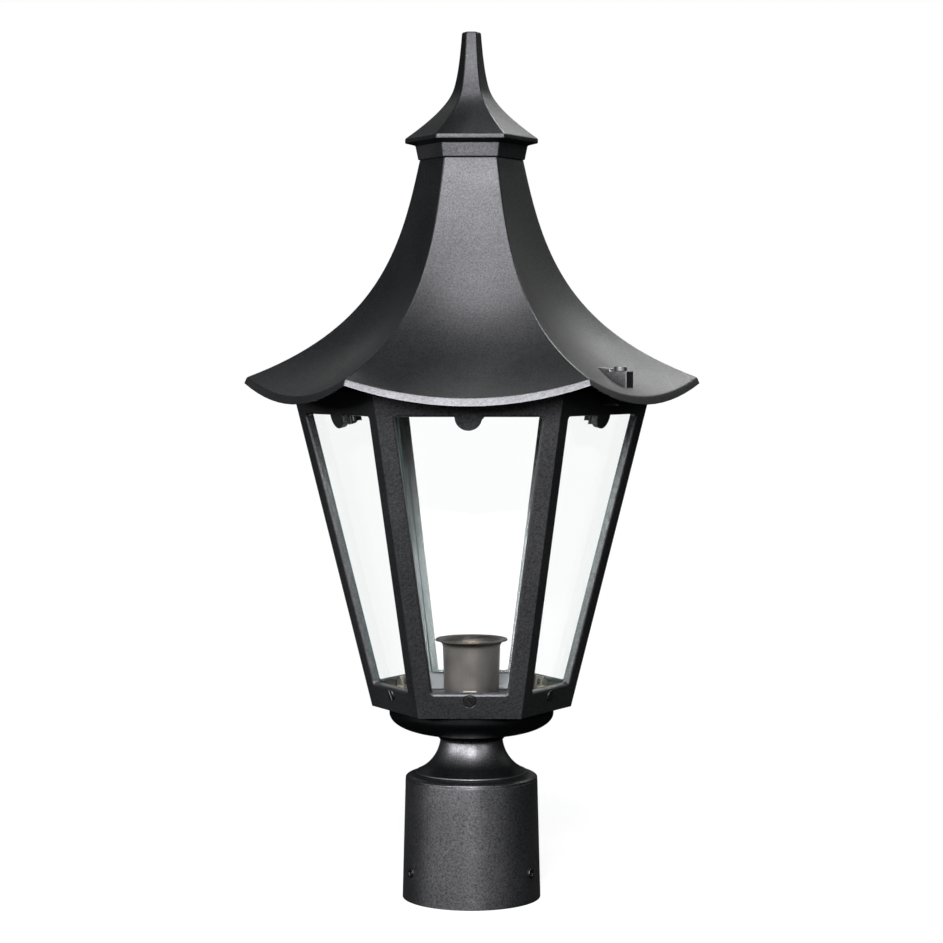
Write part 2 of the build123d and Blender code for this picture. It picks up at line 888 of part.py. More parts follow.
nodes = {
    "fitter_collar": make_fitter(),
    "neck": make_neck(),
    "base_pan": make_pan(),
    "cage_frame": make_cage(),
    "floor_plate": make_floor(),
    "pane_brackets": each_side(make_bracket),
    "pane_clips": each_side(make_clip),
    "pane_clip_screws": each_side(make_clip_screw),
    "roof_gasket": make_gasket(),
    "roof": make_roof(),
    "finial": make_finial(),
    "finial_rod": disc(rod_radius, rod_nut_bottom - rod_tail, rod_top),
    "finial_washer": disc(
        rod_washer_radius, rod_washer_bottom, web_underside, rod_radius + rod_hole_clearance
    ),
    "finial_nut": hex_nut(rod_nut_flats, rod_nut_bottom, rod_washer_bottom, rod_radius + stem_fit),
    "stem_pipe": disc(
        stem_radius, socket_depth + stem_end, upper_nut_top + bushing_height - stem_end, stem_bore_radius
    ),
    "stem_washer_lower": disc(
        stem_washer_radius, web_bottom - stem_washer_thickness, web_bottom, stem_hole
    ),
    "stem_nut_lower": hex_nut(
        stem_nut_flats,
        web_bottom - stem_washer_thickness - stem_nut_height,
        web_bottom - stem_washer_thickness,
        stem_radius + stem_fit,
    ),
    "stem_washer_upper": disc(stem_washer_radius, cup_floor_top, upper_washer_top, stem_hole),
    "stem_nut_upper": hex_nut(stem_nut_flats, upper_washer_top, upper_nut_top, stem_radius + stem_fit),
    "socket_cup": make_cup(),
    "socket_bushing": disc(bushing_radius, upper_nut_top, bushing_top, stem_radius + stem_fit),
    "socket_body": make_holder(),
    "socket_shell": make_shell(),
    "socket_contact": make_contact(),
}
for number, azimuth in enumerate(side_azimuths, start=1):
    nodes[f"glass_pane_{number}"] = make_glass(azimuth)
screws = [make_rail_screw(azimuth, turn) for azimuth, turn in zip(side_azimuths, slot_turns)]
nodes["rail_screws"] = Compound([solid for screw in screws for solid in screw.solids()])
for name, azimuth in holddown_azimuths.items():
    nodes[name] = make_holddown(azimuth)
for name, azimuth in set_screw_azimuths.items():
    nodes[name] = make_set_screw(azimuth)

for name, shape in nodes.items():
    export_step(shape, f"parts/{name}.step")
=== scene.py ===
"""Post top lantern: roof, finial, cage, pan, neck and fitter in black powder coat, with clear panes."""

import math

import bmesh
import bpy
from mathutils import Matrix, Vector


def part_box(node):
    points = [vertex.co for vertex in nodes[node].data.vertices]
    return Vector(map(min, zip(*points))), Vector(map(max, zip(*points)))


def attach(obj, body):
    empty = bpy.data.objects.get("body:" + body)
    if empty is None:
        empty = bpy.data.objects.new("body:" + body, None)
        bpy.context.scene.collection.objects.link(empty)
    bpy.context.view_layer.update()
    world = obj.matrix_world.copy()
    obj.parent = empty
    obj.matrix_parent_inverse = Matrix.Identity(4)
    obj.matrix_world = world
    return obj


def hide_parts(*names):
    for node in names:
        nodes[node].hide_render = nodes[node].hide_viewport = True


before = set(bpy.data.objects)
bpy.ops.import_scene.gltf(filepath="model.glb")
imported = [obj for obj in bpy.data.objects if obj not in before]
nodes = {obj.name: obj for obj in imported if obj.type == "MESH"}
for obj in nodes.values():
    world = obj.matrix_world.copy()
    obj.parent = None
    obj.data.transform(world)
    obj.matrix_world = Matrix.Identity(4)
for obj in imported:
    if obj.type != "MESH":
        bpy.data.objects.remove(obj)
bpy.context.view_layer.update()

MM = 0.001
ROUND = 2 * math.pi
# a hexagon's distance to its flats, as a share of the distance to its corners
FLAT = math.cos(math.radians(30))
SIDE_AZIMUTHS = [-90 + 60 * step for step in range(6)]


def low(node):
    """Lowest height of a CAD node, in millimetres."""
    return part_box(node)[0][2] / MM


def high(node):
    """Highest height of a CAD node, in millimetres."""
    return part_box(node)[1][2] / MM


def reach(node, axis=0):
    """Largest distance of a CAD node from the lantern's axis along X or Y, in millimetres."""
    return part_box(node)[1][axis] / MM


# ---------------------------------------------------------------- levels and sizes from the frame, mm
pan_top = low("cage_frame")
cage_top = high("cage_frame")
roof_seat = high("roof_gasket")
roof_top = high("roof")
cage_top_flat = reach("cage_frame", axis=1)
# the frame's box gives the cage's widest level only, so the foot's size is written here
cage_foot_flat = 53.95
lean = (cage_top_flat - cage_foot_flat) / (cage_top - pan_top)
lean_angle = math.atan(lean)


# ---------------------------------------------------------------- shader helpers
class Shader:
    """A material's nodes, added and wired by short calls."""

    def __init__(self, tree):
        self.tree = tree

    def add(self, kind, settings=None, **inputs):
        node = self.tree.nodes.new(kind)
        for name, value in (settings or {}).items():
            setattr(node, name, value)
        for name, value in inputs.items():
            self.put(node, name.replace("_", " "), value)
        return node

    def put(self, node, name, value):
        socket = node.inputs[name]
        if isinstance(value, bpy.types.NodeSocket):
            self.tree.links.new(value, socket)
        else:
            socket.default_value = value

    def number(self, operation, first, second=None, third=None):
        node = self.add("ShaderNodeMath", {"operation": operation})
        for index, value in enumerate((first, second, third)):
            if isinstance(value, bpy.types.NodeSocket):
                self.tree.links.new(value, node.inputs[index])
            elif value is not None:
                node.inputs[index].default_value = value
        return node.outputs[0]

    def blend(self, share, first, second):
        node = self.add("ShaderNodeMix", {"data_type": "RGBA"})
        for index, value in ((0, share), (6, first), (7, second)):
            if isinstance(value, bpy.types.NodeSocket):
                self.tree.links.new(value, node.inputs[index])
            else:
                node.inputs[index].default_value = value
        return node.outputs[2]

    def spread(self, value, low_in, high_in, low_out=0.0, high_out=1.0):
        node = self.add("ShaderNodeMapRange")
        for name, item in (
            ("Value", value),
            ("From Min", low_in),
            ("From Max", high_in),
            ("To Min", low_out),
            ("To Max", high_out),
        ):
            self.put(node, name, item)
        return node.outputs["Result"]


def grey(value):
    return (value, value, value, 1.0)


def effect(name, inputs, outputs, build):
    """A node group with named inputs and outputs, built once."""
    tree = bpy.data.node_groups.new(name, "ShaderNodeTree")
    for label, kind, value in inputs:
        socket = tree.interface.new_socket(label, in_out="INPUT", socket_type=kind)
        socket.default_value = value
    for label, kind in outputs:
        tree.interface.new_socket(label, in_out="OUTPUT", socket_type=kind)
    shader = Shader(tree)
    source = tree.nodes.new("NodeGroupInput")
    sink = tree.nodes.new("NodeGroupOutput")
    results = build(shader, source.outputs)
    for label, value in results.items():
        tree.links.new(value, sink.inputs[label])
    return tree


def build_sand(shader, given):
    """Fine sandy grain of a textured powder coat: relief, and specks of lighter and darker tone."""
    place = shader.add("ShaderNodeTexCoord").outputs["Object"]
    speck = shader.add(
        "ShaderNodeTexNoise", Vector=place, Scale=given["Grains per metre"], Detail=3.0, Roughness=0.6
    ).outputs["Fac"]
    relief_scale = shader.number("MULTIPLY", given["Grains per metre"], 1.7)
    relief = shader.add(
        "ShaderNodeTexNoise", Vector=place, Scale=relief_scale, Detail=2.0, Roughness=0.6
    ).outputs["Fac"]
    height = shader.number("MULTIPLY_ADD", relief, 0.6, shader.number("MULTIPLY", speck, 0.4))
    return {"Height": height, "Specks": shader.spread(speck, 0.3, 0.7)}


def build_patina(shader, given):
    """Slow change of tone over a casting, dust on faces that look up, and how far a face looks up."""
    place = shader.add("ShaderNodeTexCoord").outputs["Object"]
    cloud = shader.add(
        "ShaderNodeTexNoise", Vector=place, Scale=given["Clouds per metre"], Detail=4.0, Roughness=0.6
    ).outputs["Fac"]
    slow = shader.spread(cloud, 0.3, 0.7)
    facing = shader.add("ShaderNodeNewGeometry").outputs["Normal"]
    parts = shader.add("ShaderNodeSeparateXYZ", Vector=facing)
    upward = shader.spread(parts.outputs["Z"], 0.25, 1.0)
    speckle = shader.add(
        "ShaderNodeTexNoise", Vector=place, Scale=given["Dust per metre"], Detail=5.0, Roughness=0.7
    ).outputs["Fac"]
    dust = shader.number("MULTIPLY", upward, shader.spread(speckle, 0.42, 0.72))
    return {"Tone": slow, "Dust": dust, "Upward": shader.spread(parts.outputs["Z"], 0.3, 0.75)}


def build_turning(shader, given):
    """Fine rings left on spun or turned metal, by height."""
    place = shader.add("ShaderNodeTexCoord").outputs["Object"]
    stretch = shader.add("ShaderNodeMapping", Vector=place)
    stretch.inputs["Scale"].default_value = (2.0, 2.0, 260.0)
    drawn_out = stretch.outputs["Vector"]
    lines = shader.add(
        "ShaderNodeTexNoise", Vector=drawn_out, Scale=given["Rings"], Detail=5.0, Roughness=0.7
    ).outputs["Fac"]
    blotch = shader.add("ShaderNodeTexNoise", Vector=place, Scale=90.0, Detail=4.0).outputs["Fac"]
    return {"Lines": lines, "Blotch": shader.spread(blotch, 0.32, 0.68)}


FLOAT = "NodeSocketFloat"
sand = effect(
    "sand_grain",
    [("Grains per metre", FLOAT, 1500.0)],
    [("Height", FLOAT), ("Specks", FLOAT)],
    build_sand,
)
patina = effect(
    "patina",
    [("Clouds per metre", FLOAT, 22.0), ("Dust per metre", FLOAT, 420.0)],
    [("Tone", FLOAT), ("Dust", FLOAT), ("Upward", FLOAT)],
    build_patina,
)
turning = effect(
    "turning_marks", [("Rings", FLOAT, 3.0)], [("Lines", FLOAT), ("Blotch", FLOAT)], build_turning
)


def material(name):
    """A new material with a Principled shader, its output cleared for wiring."""
    made = bpy.data.materials.new(name)
    made.use_nodes = True
    made.node_tree.nodes.clear()
    shader = Shader(made.node_tree)
    surface = shader.add("ShaderNodeBsdfPrincipled")
    output = shader.add("ShaderNodeOutputMaterial")
    made.node_tree.links.new(surface.outputs["BSDF"], output.inputs["Surface"])
    return made, shader, surface, output


def group(shader, tree, **inputs):
    node = shader.add("ShaderNodeGroup", {"node_tree": tree})
    for name, value in inputs.items():
        shader.put(node, name.replace("_", " "), value)
    return node.outputs


def bump(shader, surface, height, depth):
    """Feeds a height in 0 to 1 to the surface as relief of a real depth in metres."""
    node = shader.add("ShaderNodeBump", Strength=1.0, Distance=depth, Height=height)
    shader.put(surface, "Normal", node.outputs["Normal"])


CLOUDING = 0.35
DUSTING = 0.06
DUST_TONE = (0.04, 0.039, 0.037, 1)
DUST_ROUGHNESS = 0.1


def powder_coat(
    name,
    dark,
    light,
    grains=1050.0,
    depth=0.00008,
    rough=(0.4, 0.49),
    shine=(0.34, 0.66),
    index=1.5,
    upward_shade=0.0,
):
    """Black sand-textured powder coat: a higher index is shinier; upward_shade darkens faces that look up,
    as painted shade.

    The specular level is linked, for the specks' sparkle and the painted shade on upward faces. The export
    drops that link.
    """
    made, shader, surface, _ = material(name)
    grain = group(shader, sand, Grains_per_metre=grains)
    age = group(shader, patina)
    base = shader.blend(grain["Specks"], dark, light)
    toned = shader.blend(shader.number("MULTIPLY", age["Tone"], CLOUDING), base, dark)
    dusty = shader.blend(shader.number("MULTIPLY", age["Dust"], DUSTING), toned, DUST_TONE)
    shader.put(surface, "Base Color", dusty)
    roughness = shader.spread(age["Tone"], 0.0, 1.0, *rough)
    worn = shader.number("MULTIPLY_ADD", age["Dust"], DUST_ROUGHNESS, roughness)
    shader.put(surface, "Roughness", worn)
    shader.put(surface, "IOR", index)
    # painted shade: faces that look up lose specular level, darker where the top lamps would light them
    upward_shade_factor = shader.number("MULTIPLY_ADD", age["Upward"], -upward_shade, 1.0)
    sparkle = shader.spread(grain["Specks"], 0.0, 1.0, *shine)
    shader.put(surface, "Specular IOR Level", shader.number("MULTIPLY", sparkle, upward_shade_factor))
    bump(shader, surface, grain["Height"], depth)
    return made


MARK_DEPTH = 0.00002


def metal(name, colour, stain, rough, rings=3.0):
    """Spun, rolled or plated metal with fine marks and slight staining."""
    made, shader, surface, _ = material(name)
    marks = group(shader, turning, Rings=rings)
    shader.put(surface, "Base Color", shader.blend(marks["Blotch"], colour, stain))
    shader.put(surface, "Metallic", 1.0)
    shader.put(surface, "Roughness", shader.spread(marks["Lines"], 0.3, 0.7, rough - 0.08, rough + 0.1))
    bump(shader, surface, marks["Lines"], MARK_DEPTH)
    return made


# below real glass, so that the panes stay as white as the photograph shows them
GLASS_INDEX = 1.15
GLASS_SHINE = 0.1


def clear_glass(name):
    """Clear float glass that lets lamps shine through to what stands behind it."""
    made, shader, surface, output = material(name)
    place = shader.add("ShaderNodeTexCoord").outputs["Object"]
    film = shader.add("ShaderNodeTexNoise", Vector=place, Scale=35.0, Detail=4.0).outputs["Fac"]
    shader.put(surface, "Base Color", shader.blend(film, (0.994, 1.0, 0.998, 1), (0.988, 0.998, 0.994, 1)))
    shader.put(surface, "Specular IOR Level", GLASS_SHINE)
    shader.put(surface, "Metallic", 0.0)
    shader.put(surface, "Transmission Weight", 1.0)
    shader.put(surface, "IOR", GLASS_INDEX)
    shader.put(surface, "Roughness", shader.spread(film, 0.3, 0.8, 0.0, 0.008))
    ray = shader.add("ShaderNodeLightPath").outputs["Is Shadow Ray"]
    open_way = shader.add("ShaderNodeBsdfTransparent", Color=(0.93, 0.97, 0.95, 1))
    either = shader.add("ShaderNodeMixShader", Fac=ray)
    made.node_tree.links.new(surface.outputs["BSDF"], either.inputs[1])
    made.node_tree.links.new(open_way.outputs["BSDF"], either.inputs[2])
    made.node_tree.links.new(either.outputs["Shader"], output.inputs["Surface"])
    return made


def cut_edge(name):
    """Green cut edge of a pane, finely ground."""
    made, shader, surface, _ = material(name)
    grain = group(shader, sand, Grains_per_metre=5200.0)
    green = shader.blend(grain["Specks"], (0.006, 0.032, 0.028, 1), (0.016, 0.066, 0.058, 1))
    shader.put(surface, "Base Color", green)
    shader.put(surface, "Roughness", shader.spread(grain["Specks"], 0.0, 1.0, 0.25, 0.45))
    shader.put(surface, "Specular IOR Level", 0.5)
    bump(shader, surface, grain["Height"], 0.00004)
    return made


def glaze(name):
    """White glazed porcelain with a faint crackle of tone."""
    made, shader, surface, _ = material(name)
    age = group(shader, patina, Clouds_per_metre=80.0, Dust_per_metre=900.0)
    body = shader.blend(age["Tone"], (0.82, 0.79, 0.72, 1), (0.88, 0.86, 0.8, 1))
    shader.put(surface, "Base Color", shader.blend(age["Dust"], body, (0.6, 0.55, 0.47, 1)))
    shader.put(surface, "Roughness", shader.spread(age["Tone"], 0.0, 1.0, 0.16, 0.24))
    shader.put(surface, "Coat Weight", 0.5)
    bump(shader, surface, age["Tone"], 0.0002)
    return made


def sponge(name):
    """Closed-cell rubber of a gasket."""
    made, shader, surface, _ = material(name)
    grain = group(shader, sand, Grains_per_metre=2600.0)
    shader.put(surface, "Base Color", shader.blend(grain["Specks"], grey(0.012), grey(0.035)))
    shader.put(surface, "Roughness", shader.spread(grain["Specks"], 0.0, 1.0, 0.8, 0.92))
    bump(shader, surface, grain["Height"], 0.0002)
    return made


COAT_DARK, COAT_LIGHT = (0.0002, 0.0005, 0.0005, 1), (0.0030, 0.0040, 0.0040, 1)
coat = powder_coat("black_sand_coat", COAT_DARK, COAT_LIGHT)
# painted shade: a less shiny copy of the black coat, for the finial
finial_shade_coat = powder_coat(
    "black_finial_shade_coat", COAT_DARK, COAT_LIGHT, 1150.0, 0.00007, (0.4, 0.47), (0.22, 0.42)
)
# painted highlight: a shinier copy of the black coat, for the eaves' band and the cage's inner faces
painted_highlight_coat = powder_coat(
    "black_painted_highlight_coat", COAT_DARK, COAT_LIGHT, 1000.0, 0.00007, (0.4, 0.48), (0.34, 0.66), 1.75
)
cage_coat = powder_coat(
    "black_cage_coat", COAT_DARK, COAT_LIGHT, 900.0, 0.00008, (0.44, 0.52), (0.3, 0.78), 1.7
)
# painted highlight: the fitter and neck are shinier copies of the black coat, with painted shade on faces
# that look up
fitter_highlight_coat = powder_coat(
    "black_fitter_highlight_coat", COAT_DARK, COAT_LIGHT, 850.0, 0.00009, (0.34, 0.4), (0.25, 0.75), 2.4, 0.7
)
neck_highlight_coat = powder_coat(
    "black_neck_highlight_coat", COAT_DARK, COAT_LIGHT, 1100.0, 0.00008, (0.4, 0.46), (0.3, 0.7), 2.4, 0.85
)
# painted highlight: a shinier copy of the black coat, for the screw bosses and the finial's collar
boss_collar_highlight_coat = powder_coat(
    "black_boss_collar_highlight_coat", COAT_DARK, COAT_LIGHT, 1000.0, 0.00009, (0.34, 0.42), (0.3, 0.7), 2.3
)
# painted shade: a copy of the black coat without its lighter tone and with little specular level, for the
# pan and the neck's bead
pan_bead_shade_coat = powder_coat("black_pan_bead_shade_coat", COAT_DARK, COAT_DARK, 1200.0, 0.00004, (0.42, 0.5), (0.1, 0.2))
sheet_coat = powder_coat("black_sheet_coat", grey(0.006), grey(0.018), 1700.0, 0.00006)
glass = clear_glass("clear_glass")
glass_edge = cut_edge("green_cut_edge")
# painted shade: a darker copy of the cup's metal, for its upward rim
rim_shade_metal = metal("cup_rim_shade_metal", (0.055, 0.05, 0.047, 1), (0.035, 0.031, 0.028, 1), 0.6)
cup_metal = metal("antique_cup_metal", (0.1, 0.091, 0.085, 1), (0.066, 0.059, 0.054, 1), 0.6)
brass = metal("shell_brass", (0.78, 0.58, 0.28, 1), (0.6, 0.42, 0.2, 1), 0.3)
bracket_metal = metal("bracket_zinc", (0.3, 0.28, 0.23, 1), (0.22, 0.2, 0.15, 1), 0.46, 6.0)
spring_metal = metal("spring_steel", (0.16, 0.16, 0.165, 1), (0.1, 0.1, 0.105, 1), 0.36, 5.0)
dull_zinc = metal("weathered_zinc", (0.2, 0.2, 0.2, 1), (0.12, 0.12, 0.12, 1), 0.46, 5.0)
zinc = metal("zinc_plate", (0.68, 0.68, 0.67, 1), (0.5, 0.5, 0.5, 1), 0.3, 5.0)
oxide = metal("black_oxide", (0.09, 0.09, 0.092, 1), (0.05, 0.048, 0.046, 1), 0.38, 5.0)
porcelain = glaze("white_porcelain")
gasket_foam = sponge("gasket_foam")


# ---------------------------------------------------------------- modelling helpers
def deselect_all():
    if bpy.context.mode != "OBJECT":
        bpy.ops.object.mode_set(mode="OBJECT")
    bpy.ops.object.select_all(action="DESELECT")


def edit(piece):
    """Makes a piece the only one selected and opens it in edit mode, all selected."""
    deselect_all()
    piece.select_set(True)
    bpy.context.view_layer.objects.active = piece
    bpy.ops.object.mode_set(mode="EDIT")
    bpy.ops.mesh.select_mode(type="VERT")
    bpy.ops.mesh.select_all(action="SELECT")


def close_edit(name=None):
    bpy.ops.object.mode_set(mode="OBJECT")
    piece = bpy.context.object
    if name:
        piece.name = piece.data.name = name
    return piece


def apply_modifier(piece, kind, **settings):
    """Adds a modifier with its settings and applies it to the mesh."""
    deselect_all()
    piece.select_set(True)
    bpy.context.view_layer.objects.active = piece
    modifier = piece.modifiers.new(kind.lower(), kind)
    for name, value in settings.items():
        setattr(modifier, name, value)
    bpy.ops.object.modifier_apply(modifier=modifier.name)


def soften(piece, radius, steps=3, angle=30.0):
    """Rounds the sharp edges by a radius in mm, and shades the rest smooth."""
    apply_modifier(
        piece,
        "BEVEL",
        width=radius * MM,
        segments=steps,
        limit_method="ANGLE",
        angle_limit=math.radians(angle),
        use_clamp_overlap=False,
    )
    smooth(piece)


SMOOTH_ANGLE = math.radians(38)


def smooth(piece):
    """Shades a piece smooth across its shallow edges, with the large faces kept flat."""
    deselect_all()
    piece.select_set(True)
    bpy.context.view_layer.objects.active = piece
    bpy.ops.object.shade_smooth_by_angle(angle=SMOOTH_ANGLE)
    apply_modifier(piece, "WEIGHTED_NORMAL", keep_sharp=True, weight=60)


def finish(piece, body, slot, *covered, skin=coat):
    """Gives a piece its material and body, and lets it stand for CAD nodes."""
    if not piece.data.materials:
        piece.data.materials.append(skin)
    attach(piece, body)
    if covered:
        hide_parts(*covered)
    return piece


def merged_copy(node, name):
    """A welded copy of a CAD node, with its flat faces made whole."""
    mesh = nodes[node].data.copy()
    mesh.materials.clear()
    piece = bpy.data.objects.new(name, mesh)
    mesh.name = name
    bpy.context.scene.collection.objects.link(piece)
    edit(piece)
    bpy.ops.mesh.remove_doubles(threshold=0.002 * MM)
    bpy.ops.mesh.dissolve_limited(angle_limit=math.radians(0.3))
    return close_edit()


def cast_from(node, radius, body, slot, skin=coat, steps=3):
    """A casting or fitting with the CAD node's shape and rounded edges."""
    piece = merged_copy(node, f"{node}_finished")
    soften(piece, radius, steps)
    return finish(piece, body, slot, node, skin=skin)


def start_ring(sides, radius, height, columns=1):
    """Adds an open ring with a corner on +X, in edit mode and all selected; sizes in mm."""
    deselect_all()
    bpy.ops.mesh.primitive_circle_add(
        vertices=sides,
        radius=radius * MM,
        fill_type="NOTHING",
        location=(0, 0, height * MM),
        rotation=(0, 0, ROUND / 4),
    )
    bpy.ops.object.transform_apply(location=True, rotation=True, scale=True)
    edit(bpy.context.object)
    if columns > 1:
        bpy.ops.mesh.subdivide(number_cuts=columns - 1)
        bpy.ops.mesh.select_all(action="SELECT")


def next_ring(ratio, rise):
    """Extrudes the selected ring upwards by rise and scales it about the axis."""
    bpy.ops.mesh.extrude_edges_move(TRANSFORM_OT_translate={"value": (0, 0, rise * MM)})
    bpy.ops.transform.resize(value=(ratio, ratio, 1), center_override=(0, 0, 0))


def share_across(vertex):
    """Place of a vertex across its hexagon side, 0 and 1 at the corners."""
    turn = math.atan2(vertex.co.y, vertex.co.x) % (ROUND / 6)
    return 0.5 + math.tan(turn - ROUND / 12) / (2 * math.tan(ROUND / 12))


def dip_ring(columns, depth):
    """Lowers the selected ring between its corners, by depth at the middle of each side."""
    mesh = bmesh.from_edit_mesh(bpy.context.object.data)
    ring = [vertex for vertex in mesh.verts if vertex.select]
    sets = {}
    for vertex in ring:
        step = round(share_across(vertex) * columns) % columns
        sets.setdefault(min(step, columns - step), []).append(vertex)
    for step, members in sets.items():
        share = step / columns
        if step == 0:
            continue
        for vertex in ring:
            vertex.select_set(False)
        for vertex in members:
            vertex.select_set(True)
        mesh.select_flush_mode()
        bpy.ops.transform.translate(value=(0, 0, -4 * share * (1 - share) * depth * MM))
    for vertex in ring:
        vertex.select_set(True)
    mesh.select_flush(True)


def ring_body(name, sides, rings, columns=1, place=(0, 0, 0)):
    """A body from rings of (corner radius, height, dip): its two ends meet, or are closed flat."""
    radius, height, dip = rings[0]
    start_ring(sides, radius, height, columns)
    if dip:
        dip_ring(columns, dip)
    for next_radius, next_height, next_dip in rings[1:]:
        next_ring(next_radius / radius, next_height - height)
        if abs(next_dip - dip) > 1e-9:
            dip_ring(columns, next_dip - dip)
        radius, height, dip = next_radius, next_height, next_dip
    bpy.ops.mesh.select_all(action="SELECT")
    bpy.ops.mesh.remove_doubles(threshold=0.01 * MM)
    bpy.ops.mesh.fill_holes(sides=0)
    bpy.ops.mesh.select_all(action="SELECT")
    bpy.ops.mesh.normals_make_consistent(inside=False)
    bpy.ops.transform.translate(value=place)
    return close_edit(name)


def flat_outline(name, corners, thickness):
    """A plate with its outline in the XZ plane, in mm, and its middle on that plane."""
    deselect_all()
    bpy.ops.mesh.primitive_circle_add(vertices=len(corners), radius=MM, fill_type="NGON")
    edit(bpy.context.object)
    mesh = bmesh.from_edit_mesh(bpy.context.object.data)
    mesh.verts.ensure_lookup_table()
    for index, (across, height) in enumerate(corners):
        for vertex in mesh.verts:
            vertex.select_set(vertex.index == index)
        mesh.select_flush_mode()
        spot = Vector((across * MM, -thickness / 2 * MM, height * MM))
        bpy.ops.transform.translate(value=spot - mesh.verts[index].co)
    bpy.ops.mesh.select_all(action="SELECT")
    bpy.ops.mesh.extrude_region_move(TRANSFORM_OT_translate={"value": (0, thickness * MM, 0)})
    bpy.ops.mesh.select_all(action="SELECT")
    bpy.ops.mesh.normals_make_consistent(inside=False)
    return close_edit(name)


def turn_about_axis(piece, azimuth):
    """Turns a piece's mesh about the lantern's axis, by degrees."""
    edit(piece)
    bpy.ops.transform.rotate(value=-math.radians(azimuth), orient_axis="Z", center_override=(0, 0, 0))
    close_edit()


def curve_points(controls, steps, first=0):
    """Points of a Bezier curve of any degree, with as many values a point as its controls."""
    points = []
    degree = len(controls) - 1
    axes = range(len(controls[0]))
    for step in range(first, steps + 1):
        t = step / steps
        weights = [math.comb(degree, k) * t**k * (1 - t) ** (degree - k) for k in range(degree + 1)]
        points.append(tuple(sum(w * c[axis] for w, c in zip(weights, controls)) for axis in axes))
    return points


# ---------------------------------------------------------------- roof
def slope_point(start, angle, distance):
    """Point a distance from start, going outwards and down at an angle."""
    turn = math.radians(angle)
    return (start[0] + distance * math.cos(turn), start[1] - distance * math.sin(turn))


ROOF_COLUMNS = 14
OUTER_HIP_STEPS = 34
INNER_HIP_STEPS = 22
# edges of the roof and finial that are sharper than this, in degrees, are rounded
HIP_ANGLE = 24.0
EAVE_OVERHANG = 28.6
EAVE_RISE = 7.8
EAVE_LIP = 1.8
EAVE_EDGE_HEIGHT = 4.2
EAVE_TOP_DIP = 11.0
EAVE_BOTTOM_DIP = 12.1
ROOF_DIP = 12.0
ROOF_WALL = 3.6
ROOF_WEB = 4.5
NECK_RADIUS = 32.4
NECK_ANGLE = 78.0
NECK_PULL = 56.0
EAVE_ANGLE = 20.5
EAVE_PULL = 88.0
EAVE_CORNER = cage_top_flat / FLAT + EAVE_OVERHANG
EAVE_TOP = cage_top + EAVE_RISE
EAVE_EDGE = (EAVE_CORNER + EAVE_LIP, EAVE_TOP - EAVE_EDGE_HEIGHT, EAVE_BOTTOM_DIP)
hip_neck = (NECK_RADIUS, roof_top)
hip_eave = (EAVE_CORNER, EAVE_TOP)
# corner radius, height, and how far the side sags between its corners
outer_hip = [
    (*hip_neck, 0.0),
    (*slope_point(hip_neck, NECK_ANGLE, NECK_PULL), 0.0),
    (*slope_point(hip_eave, EAVE_ANGLE, -EAVE_PULL), ROOF_DIP),
    (*hip_eave, EAVE_TOP_DIP),
]
inner_step = ROOF_WALL / FLAT
inner_hip = [
    (NECK_RADIUS - inner_step, roof_top - ROOF_WEB, 0.0),
    (*slope_point(outer_hip[1], NECK_ANGLE + 90, inner_step), 0.0),
    (*slope_point(outer_hip[2], EAVE_ANGLE + 90, ROOF_WALL), ROOF_DIP),
    EAVE_EDGE,
]


def coat_faces(piece, skin, chosen):
    """Gives another coat to the faces that a test chooses."""
    piece.data.materials.append(skin)
    for face in piece.data.polygons:
        if chosen(face):
            face.material_index = len(piece.data.materials) - 1


def upright(face):
    """True for faces within 30 degrees of upright."""
    return abs(face.normal.z) < 0.5


def make_roof():
    """The bell: outer hips down to the eaves, round the eaves' band and back up inside."""
    rings = curve_points(outer_hip, OUTER_HIP_STEPS) + curve_points(inner_hip[::-1], INNER_HIP_STEPS)
    piece = ring_body("roof_casting", 6, rings, ROOF_COLUMNS)
    soften(piece, 0.8, 3, HIP_ANGLE)
    finish(piece, "roof", "black_coat", "roof")
    # painted highlight: the eaves' upright band gets the shinier coat
    coat_faces(piece, painted_highlight_coat, lambda face: face.center.z < EAVE_TOP * MM and upright(face))


SKIRT_INSET = 5.0
SKIRT_WIDTH = 4.0
SKIRT_HEIGHT = 20.0
SKIRT_DIP = 10.8


def make_skirt():
    """The hexagonal skirt under the roof that sits on the gasket."""
    outer = (cage_top_flat - SKIRT_INSET) / FLAT
    inner = outer - SKIRT_WIDTH / FLAT
    crest, dip = roof_seat + SKIRT_HEIGHT, SKIRT_DIP
    rings = [(inner, roof_seat, 0), (outer, roof_seat, 0), (outer, crest, dip), (inner, crest, dip)]
    piece = ring_body("roof_skirt", 6, rings + rings[:1], ROOF_COLUMNS)
    soften(piece, 0.5, 2)
    finish(piece, "roof", "black_coat")


def roof_height_at(distance):
    """Height of the roof's outer face at the middle of a side, by its distance from the axis."""
    points = [(radius * FLAT, height - dip) for radius, height, dip in curve_points(outer_hip, 200)]
    for (near, above), (far, below) in zip(points, points[1:]):
        if near <= distance <= far:
            return above + (below - above) * (distance - near) / (far - near)
    return points[-1][1]


BOSS_AXIS = cage_top_flat + 7.6
BOSS_WIDTH = 9.2
BOSS_START = BOSS_AXIS - 16.0
BOSS_END = BOSS_AXIS + 6.5
BOSS_STEP = BOSS_AXIS - 4.6
BOSS_SEAT = roof_height_at(BOSS_AXIS) + 6.6
BOSS_CREST = BOSS_SEAT + 0.8
BOSS_SLOPE = math.tan(math.radians(6.5))
PILLAR_FOOT = low("roof")
PILLAR_SIDES = 40
PILLAR_BORE = 2.75
PILLAR_INSET = 0.2


